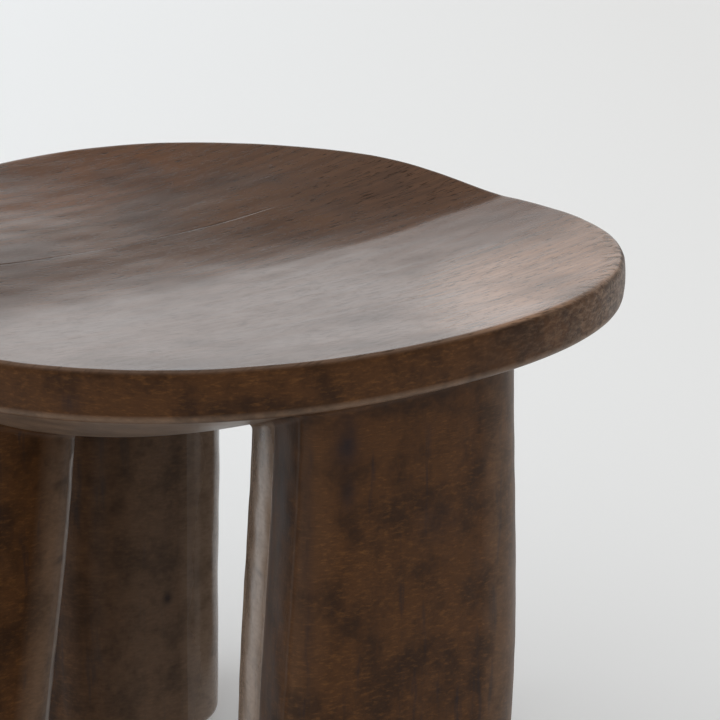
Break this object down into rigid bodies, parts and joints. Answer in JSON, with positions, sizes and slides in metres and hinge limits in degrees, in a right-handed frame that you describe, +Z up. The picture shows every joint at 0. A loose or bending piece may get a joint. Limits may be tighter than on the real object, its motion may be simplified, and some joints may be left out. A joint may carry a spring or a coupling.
{
  "type": "carved stool",
  "caption": "Low round stool carved from one block of dark hardwood, with a dished seat crossed by a shallow trough and four thick rounded legs.",
  "frame": {"origin": "on the floor under the middle of the seat", "axes": "+Z up, -Y towards the front, where two of the four legs stand, +X to the right; the seat is longest along X"},
  "size_m": [0.3803, 0.3692, 0.301],
  "materials": {
    "hardwood": "dark brown, rubbed and polished by use"
  },
  "bodies": {
    "root": {"seat": "hardwood", "leg_front_left": "hardwood", "leg_front_right": "hardwood", "leg_rear_left": "hardwood", "leg_rear_right": "hardwood"}
  },
  "joints": []
}
